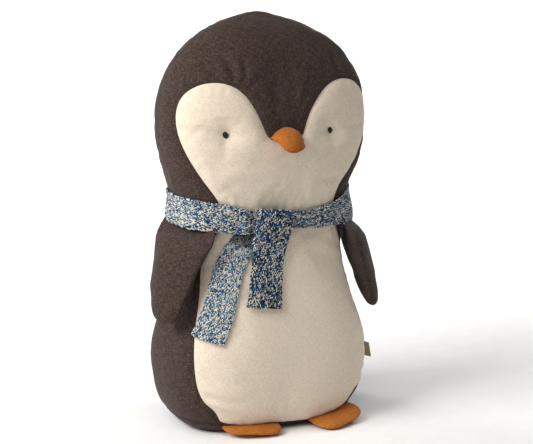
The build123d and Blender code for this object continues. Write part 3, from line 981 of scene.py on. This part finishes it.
def sample(grid, rows, columns):
    """Values of a grid at fractional rows and columns."""
    rows = np.clip(rows, 0, grid.shape[0] - 1.001)
    columns = np.clip(columns, 0, grid.shape[1] - 1.001)
    r, c = rows.astype(int), columns.astype(int)
    fr, fc = (rows - r)[..., None], (columns - c)[..., None]
    top = grid[r, c] * (1 - fc) + grid[r, c + 1] * fc
    low = grid[r + 1, c] * (1 - fc) + grid[r + 1, c + 1] * fc
    return top * (1 - fr) + low * fr


def sheet_object(name, grid, thick):
    """A closed thin sheet under a grid of points, with cloth coordinates in millimetres."""
    rows, columns = grid.shape[:2]
    normal = normals_of(grid, loop=False)
    under = grid - normal * thick
    points = np.concatenate([grid, under[:, ::-1]], axis=1)
    across, along = distance_along(grid[rows // 2]), distance_along(grid[:, columns // 2])
    u = np.r_[across, across[::-1]]
    uv = np.stack(np.broadcast_arrays(u[None, :], along[:, None]), -1)
    quads = [tuple(q) for q in grid_faces(rows, 2 * columns)]
    ends = []
    last = (rows - 1) * 2 * columns
    for c in range(columns - 1):
        back = 2 * columns - 1 - c
        ends.append((c + 1, c, back, back - 1))
        ends.append((last + c, last + c + 1, last + back - 1, last + back))
    return make_object(name, points.reshape(-1, 3), quads + ends, uv.reshape(-1, 2))


# share of the stitches in each shade of the marled yarn, darkest first
YARN_SHADES = (
    (0.19, srgb(18, 32, 56)),
    (0.37, srgb(27, 87, 134)),
    (0.12, srgb(104, 150, 172)),
    (0.04, srgb(176, 190, 196)),
    (0.35, srgb(242, 239, 226)),
)
# width and height of a stitch and radius of its yarn
WALE, COURSE, YARN_RADIUS = 2.05, 1.55, 0.55
# how much the paler ply wins where it lies on top
PLY_TURN = 1.9
# colour layers of the two plies, and how fast plies wind, in radians for each millimetre and round the yarn
PLIES = "yarn", "twin"
PLY_TWIST, THREAD_TWIST, TWICE_ROUND = 5.2, 11, 12.566
SHEET_THICK = 0.9


def yarn_shades(lighter, seed, deep):
    """Shades of one yarn over its stitch legs; lighter marks the legs where its pale ply lies on top.

    deep is the extra share of the darkest shade.
    """
    rng = np.random.default_rng(seed)
    shares = np.cumsum([share for share, _ in YARN_SHADES]) + deep
    palette = np.array([colour for _, colour in YARN_SHADES])
    draw = rng.random(len(lighter)) ** np.where(lighter, 1 / PLY_TURN, PLY_TURN)
    colours = palette[np.searchsorted(shares / shares[-1], draw)]
    colours[:, :3] *= (0.92 + 0.3 * rng.random(len(lighter)))[:, None]
    return colours


def knit(name, grid, width, length, seed, both_sides=False, hollow=0.0, deep=0.0):
    """Stockinette in raised yarn over a grid: columns of V stitches that run along its rows.

    The first hollow millimetres lie deep under the band and knot and are darkened with painted shade.
    """
    rng = np.random.default_rng(seed)
    rows, columns = grid.shape[:2]
    normal = normals_of(grid, loop=False)
    wales, courses = int(round(width / WALE)), int(round(length / COURSE))
    course, wale, hand = np.meshgrid(np.arange(courses), np.arange(wales), (-1, 1), indexing="ij")
    course, wale, hand = course.ravel(), wale.ravel(), hand.ravel()
    jitter = rng.normal(0, 0.07, (len(course), 3))
    lighter = (course + (hand > 0)) % 2 == 0

    def at(down, across, lift):
        r = (course + down + jitter[:, 0]) / courses * (rows - 1)
        c = (wale + 0.5 + across * hand + jitter[:, 1]) / wales * (columns - 1)
        place = sample(grid, r, c)
        out = sample(normal, r, c)
        return place + out * (lift + jitter[:, 2] * 0.8)[:, None], out

    # each face of the strip and how deep its yarn lies under the grid
    strip_faces = [(1, 0.0), (-1, SHEET_THICK)][: 2 if both_sides else 1]
    sets = []
    for face, inset in strip_faces:
        start, _ = at(-0.15, 0.10, face * 0.10 - inset)
        middle, out = at(0.5, 0.22, face * 0.42 - inset)
        end, _ = at(1.2, 0.40, face * 0.16 - inset)
        # painted shade: the yarn of the first hollow millimetres is darkened where it lies in the shadow
        # under the band and knot
        light = np.ones((len(course), 4))
        light[:, :3] *= (0.2 + 0.8 * smooth_step(course * COURSE - hollow, -9, 0))[:, None]
        shades, twins = (yarn_shades(lighter, seed + 9 * (1 - face) + k, deep) * light for k in (0, 1))
        sets.append((start, middle, end, out * face, shades, twins))
    starts, middles, ends, outs, shades, twins = (np.concatenate(layers) for layers in zip(*sets))
    obj = strands(name, starts, middles, ends, outs, YARN_RADIUS, shades, twins)
    obj.data.materials.append(YARN)
    return obj


def yarn_material():
    """Marled wool: each stitch in its own shade, two plies twisted together, fuzzy, with painted shade
    between the plies and a painted highlight on them.
    """
    n = Nodes("marled_yarn")
    first, second = (n.new("ShaderNodeAttribute", attribute_name=key).outputs["Color"] for key in PLIES)
    ply = n.spiral(PLY_TWIST, TWICE_ROUND)
    twist = n.spiral(PLY_TWIST / 2, TWICE_ROUND / 2)
    shade = n.mix(n.math("MULTIPLY_ADD", twist, 2.0), first, second)
    fuzz = n.noise(n.place(), 2400, 2.0, 0.7)
    # painted shade in the grooves between the plies, and a painted highlight on their crests
    light = n.ramp(ply, [(0.0, grey(0.62)), (0.7, grey(1.1))])
    colour = n.mix(1.0, shade, light, "MULTIPLY")
    colour = n.mix(0.7, colour, n.ramp(fuzz, [(0.35, grey(0.8)), (0.7, grey(1.12))]), "MULTIPLY")
    return n.set(
        Base_Color=colour,
        Roughness=n.scaled(fuzz, 0.2, 0.72),
        Normal=n.bump(n.scaled(ply, 0.5, fuzz), 0.5, 0.0002),
        Sheen_Weight=0.05,
        Sheen_Roughness=0.5,
        Specular_IOR_Level=0.2,
    )


def purl_material():
    """The knit's ground, seen between the stitches and from behind."""
    n = Nodes("knit_ground")
    bumps = n.new("ShaderNodeTexVoronoi", {"Vector": n.cloth(), "Scale": 0.62}, feature="F1")
    shades = [(0.3, srgb(24, 40, 68)), (0.5, srgb(38, 88, 140)), (0.75, srgb(170, 166, 156))]
    return n.set(
        Base_Color=n.ramp(bumps.outputs["Color"], shades),
        Roughness=n.scaled(bumps.outputs["Distance"], 0.15, 0.8),
        Normal=n.bump(bumps.outputs["Distance"], 0.6, 0.0005),
        Specular_IOR_Level=0.2,
    )


YARN, PURL = yarn_material(), purl_material()
# place round the neck as a share of a turn (+ towards +X from the front middle), top and bottom height
BAND_EDGES = np.array(
    [
        (-0.62, 199, 172), (-0.5, 199, 172), (-0.35, 196.5, 171.5), (-0.25, 195, 172.2),
        (-0.19, 193.6, 171.4), (-0.148, 192.2, 169.2), (-0.112, 189.7, 166.6),
        (-0.086, 186.4, 165.4), (-0.06, 183.2, 166), (-0.02, 182, 167.5), (0.013, 182.4, 168.4),
        (0.042, 182.1, 167.6), (0.07, 182.4, 166.6), (0.097, 184.4, 166.7), (0.128, 187.3, 167),
        (0.15, 190, 167), (0.175, 194, 167.6), (0.22, 197.5, 169), (0.27, 198.5, 170.5),
        (0.38, 199, 172),
    ]
)
BAND_FULL = 27.5  # width of the band where nothing squeezes it


def skin_point(skin, heights, turn, z, lift):
    """Points at places round the body (shares of a turn) and heights, lifted off the skin."""
    smooth, normal = skin
    rows = np.interp(z, heights, np.arange(len(heights)))
    columns = (turn % 1) * (smooth.shape[1] - 1)
    return sample(smooth, rows, columns) + sample(normal, rows, columns) * lift[..., None]


def scarf_band(skin, heights):
    """The part of the scarf that goes round the neck, bunched where it passes through the knot."""
    rows, columns = 720, 22
    first, last = BAND_EDGES[0, 0], BAND_EDGES[-1, 0]
    turn = np.linspace(first, last, rows)[:, None] + np.zeros(columns)
    w = np.linspace(-1, 1, columns)[None, :] + np.zeros((rows, 1))
    top, bottom = (np.interp(turn[:, 0], BAND_EDGES[:, 0], BAND_EDGES[:, k]) for k in (1, 2))
    soft = np.exp(-(np.linspace(-2, 2, 33) ** 2))
    soft /= soft.sum()
    top, bottom = (np.convolve(np.pad(edge, 16, "edge"), soft, "valid") for edge in (top, bottom))
    place = np.stack([turn * 380, w * 4, 0 * w], -1)
    edge = 0.35 * value_noise(place, 2.3, 81) * np.abs(w) ** 6
    z = ((top + bottom) / 2)[:, None] + w * ((top - bottom) / 2)[:, None] + edge
    squeeze = np.clip(1 - (top - bottom) / BAND_FULL, 0, 1)[:, None]
    pleats = 2.6 * squeeze * (1 - np.cos(3 * math.pi * (w + 1) + 3 * np.sin(turn * 30)))
    slack = 0.5 * value_noise(place, 26, 82) + 0.25 * value_noise(place, 9, 83)
    # the wings push its lower edge out
    shoulder = smooth_step(np.abs(turn), 0.10, 0.18) * (1 - smooth_step(np.abs(turn), 0.33, 0.42))
    lean = 5.4 * smooth_step(-w, -0.8, 1.0) - 1.2 * smooth_step(w, -0.2, 1)
    lift = 2.2 + slack + pleats - 0.35 * np.abs(w) ** 6 + shoulder * lean
    # the knot presses it flat
    pressed = 1 - smooth_step(np.abs(turn + 0.026), 0.042, 0.056)
    lift = lift * (1 - 0.7 * pressed) + 0.5 * pressed
    grid = skin_point(skin, heights, turn, z, lift)
    if np.einsum("ij,ij->", normals_of(grid, False)[rows // 2], grid[rows // 2] * (1, 1, 0)) < 0:
        grid = grid[:, ::-1]
    obj = sheet_object("scarf_band_cloth", grid, SHEET_THICK)
    obj.data.materials.append(PURL)
    yarn = knit("scarf_band_yarn", grid, 27.0, 395.0, 21)
    return obj, yarn


# places of the front table's columns and rows, in steps of a millimetre
TABLE_X, TABLE_Z = np.arange(-84, 85, 1.0), np.arange(60, 215, 1.0)


def front_table(smooth, heights):
    """Depth of the body's front at each height (rows) and x (columns), on a millimetre grid."""
    half = smooth.shape[1] // 4
    rows = np.interp(TABLE_Z, heights, np.arange(len(heights)))
    table = np.zeros((len(TABLE_Z), len(TABLE_X)))
    for k, row in enumerate(rows):
        r = int(row)
        line = smooth[r] * (1 - row + r) + smooth[r + 1] * (row - r)
        front = np.concatenate([line[-half:], line[:half]])
        front = front[np.argsort(front[:, 0])]
        table[k] = np.interp(TABLE_X, front[:, 0], front[:, 1])
    return table


def scarf_end(name, table, path, tilt, seed, wave, hollow, deep, turned):
    """A hanging end: path rows are centre x, z, lift and half width, from hidden top to free end.

    tilt is the slope of its cross lines, wave the height of its waves, hollow and deep as for the knit,
    and turned how far one edge stands out from the body.
    """
    fine = spline(path, 150)
    columns = 22
    w = np.linspace(-1, 1, columns)[None, :]
    x0, z0, lift, half = (fine[:, k][:, None] for k in range(4))
    run = np.arange(len(fine))[:, None] + 0 * w
    place = np.stack([run * 0.7, w * 9 + 0 * run, 0 * run], -1)
    half = half + 0.45 * value_noise(place[:, :1] * (1, 0, 1), 3.0, seed) * np.ones_like(w)
    x = x0 + w * half * math.cos(tilt)
    z = z0 + w * half * math.sin(tilt)
    z[-6:] += 0.5 * value_noise(place[-6:], 2.4, seed + 1)
    rows, places = z - TABLE_Z[0], x - TABLE_X[0]

    def read(layer):
        return sample(layer[..., None], rows, places)[..., 0]

    y = read(table)
    slope_z, slope_x = (read(layer) for layer in np.gradient(table))
    out = np.stack([slope_x, -np.ones_like(y), slope_z], -1)
    out /= np.linalg.norm(out, axis=2, keepdims=True)
    bumps = wave * value_noise(place, 13, seed + 2) * smooth_step(run, 20, 70)
    curl = -0.5 * np.abs(w) ** 5 - 0.22 * np.maximum(lift - 3, 0) * np.abs(w) ** 4
    curl = curl - turned * (w - 1) * smooth_step(run, 20, 50)
    grid = np.stack([x, y, z], -1) + out * (lift + bumps + curl)[..., None]
    across, along = distance_along(grid[75])[-1], distance_along(grid[:, columns // 2])[-1]
    grid = grid[:, ::-1]
    if normals_of(grid, False)[100, columns // 2, 1] > 0:
        grid = grid[:, ::-1]
    obj = sheet_object(f"{name}_cloth", grid, SHEET_THICK)
    obj.data.materials.append(PURL)
    yarn = knit(f"{name}_yarn", grid, across, along, seed + 5, True, hollow, deep)
    return obj, yarn


# centre x, z, lift off the body and half width, from behind the band over its top and down
SHORT_PATH = [
    (-9.5, 179, 1.8, 14.0), (-9.3, 183.2, 2.6, 14.0), (-9.2, 185.6, 5.8, 14.0),
    (-9.6, 183.6, 9.6, 14.4), (-10.5, 177.5, 11.4, 15.2), (-11.6, 170, 11.0, 15.5),
    (-13.2, 160, 8.6, 15.0), (-15.0, 149, 5.0, 13.6), (-17.2, 135, 2.8, 13.2),
    (-19.8, 119, 2.5, 14.0), (-21.9, 106.8, 2.7, 15.0),
]
LONG_PATH = [
    (-24, 171, 0.9, 10.2), (-30.5, 163, 1.0, 10.4), (-37.5, 154, 1.5, 10.6),
    (-43.5, 143.5, 2.3, 10.4), (-48.2, 131, 2.5, 10.2), (-52.4, 117, 2.4, 10.2),
    (-57, 103, 2.4, 10.6), (-61.8, 91, 2.5, 10.6), (-65.5, 82, 2.8, 10.2),
]


# form, replaced nodes, flat size in metres and the place where each hanging end begins to bend
# the short end's larger share of dark yarn is partly the marl's own colour and partly painted shade for its
# side turned from the key lamp; the long end's paler mix is partly its own colour and partly painted light
# where it faces up
SCARF_ENDS = {
    "scarf_end_short": (
        (SHORT_PATH, -0.12, 41, 0.5, 0, 0.6, 1.6),
        ["scarf_knot", "scarf_tail_short"],
        (0.029, 0.095),
        (-14.5, -50.7, 157.8),
    ),
    "scarf_end_long": (
        (LONG_PATH, -0.32, 61, 0.6, 24, -0.22, 0.0),
        ["scarf_tail_long"],
        (0.021, 0.118),
        (-45.5, -46.2, 156.2),
    ),
}


def build_scarf(smooth):
    """The knotted scarf: the band and its two hanging ends."""
    heights = body_profile(FINE_ROWS)[0][:, 0]
    facing = normals_of(smooth)
    skin = [np.concatenate([layer, layer[:, :1]], axis=1) for layer in (smooth, facing)]
    rising = np.maximum.accumulate(heights + np.arange(len(heights)) * 1e-6)
    band, band_yarn = scarf_band(skin, rising)
    for piece in (band, band_yarn):
        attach(piece, "body")
    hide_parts("scarf_band")
    table = front_table(smooth, rising)
    for name, (form, nodes, flat, (x, y, z)) in SCARF_ENDS.items():
        tail, yarn = scarf_end(name, table, *form)
        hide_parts(*nodes)
        for piece in (tail, yarn):
            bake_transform(piece)


# ---- eyes, stitches and label --------------------------------------------------------------------------
def thread_material(name, colour, deep, rough):
    """Twisted sewing thread, with painted shade between its plies."""
    n = Nodes(name)
    ply = n.spiral(THREAD_TWIST, TWICE_ROUND)
    return n.set(
        # the deep colour is painted shade in the grooves of the twist
        Base_Color=n.ramp(ply, [(0.0, deep), (0.8, colour)]),
        Roughness=n.scaled(ply, 0.05, rough),
        Normal=n.bump(ply, 0.35, 0.0001),
        Specular_IOR_Level=0.35,
    )


def nearest(points, x, z, front=True):
    """Row and column of the body point next to (x, z) on its front or back."""
    away = np.hypot(points[..., 0] - x, points[..., 2] - z)
    away[(points[..., 1] < 0) != front] = np.inf
    return np.unravel_index(np.argmin(away), away.shape)


EYE_STRANDS, EYE_WIDE, EYE_TALL = 7, 4.3, 6.3
STITCHES, STITCH_Z, STITCH_STEP, STITCH_HALF = 12, 62, 5, 2.3


def build_eyes(points):
    """Each eye is a fat knot of shiny black thread at the bottom of its hollow."""
    black = thread_material("black_thread", srgb(14, 10, 10), srgb(3, 2, 2), 0.4)
    facing = normals_of(points)
    for side, sign in (("left", 1), ("right", -1)):
        r, c = nearest(points, sign * EYE_X[sign], EYE_Z)
        centre, out = points[r, c], unit(facing[r - 12 : r + 13, c - 12 : c + 13].mean((0, 1)))
        across = unit(np.cross((0, 0, 1), out))
        up = np.cross(out, across)
        share = np.linspace(-1, 1, EYE_STRANDS)[:, None]
        plump = np.sqrt(1 - 0.72 * share**2)
        base = centre + across * share * (EYE_WIDE / 2 - 0.5) + out * 0.6
        reach = up * plump * (EYE_TALL / 2 - 0.5) - across * 0.25
        starts, ends = base - reach, base + reach
        middles = base + out * (0.25 + 1.25 * plump)
        facing_out = np.broadcast_to(out, starts.shape)
        shades = np.tile(srgb(22, 18, 18), (EYE_STRANDS, 1))
        knot = strands(f"eye_{side}_knot", starts, middles, ends, facing_out, 0.56, shades, sides=10)
        knot.modifiers.new("round", "SUBSURF").levels = 1
        knot.modifiers["round"].render_levels = 1
        knot.data.materials.append(black)
        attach(knot, "body")
        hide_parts(f"eye_knot_{side}")


def build_stitches(points):
    """Hand stitches that close the lower part of the back seam."""
    facing = normals_of(points)
    starts, middles, ends, outs = [], [], [], []
    for k in range(STITCHES):
        z = STITCH_Z + STITCH_STEP * k
        lean = 0.9 if k % 2 else -0.4
        first = points[nearest(points, -STITCH_HALF, z - lean, False)]
        last = points[nearest(points, STITCH_HALF, z + lean, False)]
        out = facing[nearest(points, 0, z, False)]
        starts.append(first - out * 0.3)
        ends.append(last - out * 0.3)
        middles.append((first + last) / 2 + out * 0.35)
        outs.append(out)
    colour = srgb(70, 60, 56)
    thread = thread_material("dark_thread", colour, srgb(36, 30, 28), 0.5)
    shades = np.tile(colour, (STITCHES, 1))
    obj = strands("closing_stitch_thread", starts, middles, ends, np.array(outs), 0.4, shades, sides=8)
    obj.data.materials.append(thread)
    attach(obj, "body")
    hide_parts("closing_stitches")


def build_label():
    """A blank folded ribbon, caught in the side seam."""
    n = Nodes("label_ribbon")
    ribs = n.noise(n.cloth(), 1.0, 2.0, 0.5, (0.5, 4.0, 1))
    colour = n.ramp(ribs, [(0.35, srgb(104, 86, 68)), (0.65, srgb(168, 148, 122))])
    n.set(Base_Color=colour, Roughness=n.scaled(ribs, 0.2, 0.7), Normal=n.bump(ribs, 0.4, 0.0002))
    # how far it stands out of the seam, and the half gap between its two layers
    out, gap = 11.0, 0.55
    bottom = [(0, -gap), (out * 0.5, -gap - 0.15), (out - 0.8, -gap)]
    top = [(out - 0.8, gap), (out * 0.5, gap + 0.1), (0, gap)]
    line = spline([*bottom, (out, 0), *top], 60)
    v = np.linspace(-6.2, 6.2, 18)[None, :]
    reach, side = line[:, :1], line[:, 1:]
    droop = -0.16 * reach - 0.012 * reach**2
    x = 84.2 + reach * (1 - 0.015 * (v + 6)) + 0 * v
    y = -25.5 + side + 0.3 * np.sin(v / 3.5) * reach / out + 0.1 * reach
    z = 53.5 + v + droop
    grid = np.stack(np.broadcast_arrays(x, y, z), -1)
    obj = sheet_object("side_label_ribbon", grid, 0.4)
    obj.data.materials.append(n.material)
    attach(obj, "body")
    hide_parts("side_label")


def finish_hidden():
    """Materials for the pieces inside: the weight bag, its pellets and the thread between the eyes."""
    bag = linen("bag_cloth", srgb(232, 226, 214), srgb(218, 210, 196), srgb(196, 188, 172), 0.7, 0.1, 0.05)
    thread = thread_material("tie_thread", srgb(60, 52, 48), srgb(26, 22, 20), 0.5)
    n = Nodes("pellets")
    beads = n.new("ShaderNodeTexVoronoi", {"Vector": n.place(), "Scale": 330}, feature="F1")
    # each pellet is paler at its middle and darker towards its rim: painted shade round and between the
    # beads
    colour = n.ramp(beads.outputs["Distance"], [(0.0, srgb(236, 234, 228)), (0.8, srgb(150, 148, 142))])
    pellets = n.set(Base_Color=colour, Roughness=0.45, Normal=n.bump(beads.outputs["Distance"], 0.8, 0.0012))
    chosen = {
        "weight_bag_upper": bag,
        "weight_bag_lower": bag,
        "weight_pellets": pellets,
        "eye_tie_thread": thread,
    }
    for name, material in chosen.items():
        for slot in bpy.data.objects[name].material_slots:
            slot.material = material


# ---- floor, light and camera -----------------------------------------------------------------------
CAMERA_AZIMUTH, CAMERA_PITCH, CAMERA_DISTANCE, CAMERA_ROLL = 25.0, 11.5, 1.178, -0.8
IMAGE_WIDTH, IMAGE_HEIGHT, FOCAL_PIXELS = 533, 444, 1415.0
TARGET = Vector((0, 0, 0.17))  # where the camera and the lamps look
TARGET_AT = (260.2, 216.2)  # where it falls in the picture
UP = Vector((0, 0, 1))


def camera_sides():
    """The level directions away from the camera and to its right."""
    a = math.radians(CAMERA_AZIMUTH)
    return Vector((math.sin(a), math.cos(a), 0)), Vector((math.cos(a), -math.sin(a), 0))


def make_stage():
    """A pale floor that sweeps up behind the toy."""
    width, depth, rise, bend, steps = 6.0, 3.0, 3.0, 0.9, 12
    profile = [(-3.0, 0.0), (depth - bend, 0.0)]
    for k in range(1, steps + 1):
        turn = math.pi / 2 * k / steps
        profile.append((depth - bend + bend * math.sin(turn), bend * (1 - math.cos(turn))))
    profile.append((depth, rise))
    back, right = camera_sides()
    bm = bmesh.new()
    lines = []
    for side in (-width / 2, width / 2):
        line = [bm.verts.new(right * side + back * along + UP * up) for along, up in profile]
        lines.append(line)
    for k in range(len(profile) - 1):
        bm.faces.new((lines[0][k], lines[1][k], lines[1][k + 1], lines[0][k + 1]))
    mesh = bpy.data.meshes.new("studio_floor")
    bm.to_mesh(mesh)
    bm.free()
    mesh.polygons.foreach_set("use_smooth", [True] * len(mesh.polygons))
    floor = bpy.data.objects.new("studio_floor", mesh)
    bpy.context.scene.collection.objects.link(floor)
    n = Nodes("studio_paper")
    paper = n.ramp(n.noise(n.place(), 60, 4.0), [(0.3, srgb(246, 246, 246)), (0.7, srgb(250, 250, 250))])
    n.set(Base_Color=paper, Roughness=0.9)
    mesh.materials.append(n.material)


def add_lamp(name, location, aim, size, power, colour=(1, 1, 1)):
    """A square soft lamp."""
    data = bpy.data.lights.new(name, "AREA")
    data.shape, data.size, data.energy, data.color = "SQUARE", size, power, colour
    lamp = bpy.data.objects.new(name, data)
    lamp.location = location
    lamp.rotation_euler = aim.to_track_quat("-Z", "Y").to_euler()
    bpy.context.scene.collection.objects.link(lamp)


def add_toy_lamp(name, azimuth, elevation, distance, *looks):
    """A lamp that looks at the middle of the toy."""
    a, e = math.radians(azimuth), math.radians(elevation)
    away = Vector((-math.sin(a) * math.cos(e), -math.cos(a) * math.cos(e), math.sin(e)))
    add_lamp(name, TARGET + away * distance, -away, *looks)


def add_backdrop_lamp(name, side):
    """A lamp behind the toy that lights the paper and not the toy."""
    back, right = camera_sides()
    location = back * 0.9 + right * side + UP * 1.3
    lit = back * 2.6 + right * side * 0.4 + UP * 0.2
    add_lamp(name, location, lit - location, 1.0, 34)


def make_camera():
    """The camera, looking a little down at the toy's right front."""
    data = bpy.data.cameras.new("camera")
    data.sensor_width = 36
    data.lens = FOCAL_PIXELS * data.sensor_width / IMAGE_WIDTH
    data.clip_start, data.clip_end = 0.05, 50
    camera = bpy.data.objects.new("camera", data)
    pitch = math.radians(CAMERA_PITCH)
    back, right = camera_sides()
    ahead = back * math.cos(pitch) - UP * math.sin(pitch)
    up = right.cross(ahead)
    camera.location = TARGET - ahead * CAMERA_DISTANCE
    # turned a little, so that the target falls left of and above the middle
    dx = (TARGET_AT[0] - IMAGE_WIDTH / 2) / FOCAL_PIXELS
    dy = (TARGET_AT[1] - IMAGE_HEIGHT / 2) / FOCAL_PIXELS
    look = (ahead - right * dx + up * dy).normalized()
    right = look.cross(UP).normalized()
    up = right.cross(look)
    roll = math.radians(CAMERA_ROLL)
    c, s = math.cos(roll), math.sin(roll)
    turned = Matrix((right * c - up * s, up * c + right * s, -look)).transposed()
    camera.rotation_euler = turned.to_euler()
    bpy.context.scene.collection.objects.link(camera)
    bpy.context.scene.camera = camera


make_camera()
body_points, body_smooth = build_body()
for wing_side in ("left", "right"):
    build_wing(wing_side)
    build_foot(wing_side)
build_beak()
build_scarf(body_smooth)
build_eyes(body_points)
build_stitches(body_points)
build_label()
finish_hidden()
make_stage()
add_toy_lamp("key_lamp", 80, 34, 1.64, 0.9, 30, (1.0, 0.98, 0.95))
add_toy_lamp("front_lamp", 20, 60, 2.2, 1.4, 10, (1.0, 0.95, 0.88))
add_backdrop_lamp("backdrop_lamp_left", -1.3)
add_backdrop_lamp("backdrop_lamp_right", 1.3)
world = bpy.data.worlds.new("studio")
world.use_nodes = True
sky = world.node_tree.nodes["Background"]
sky.inputs[0].default_value = (1, 1, 1, 1)
sky.inputs[1].default_value = 0.14
bpy.context.scene.world = world
bpy.context.scene.view_settings.view_transform = "Standard"
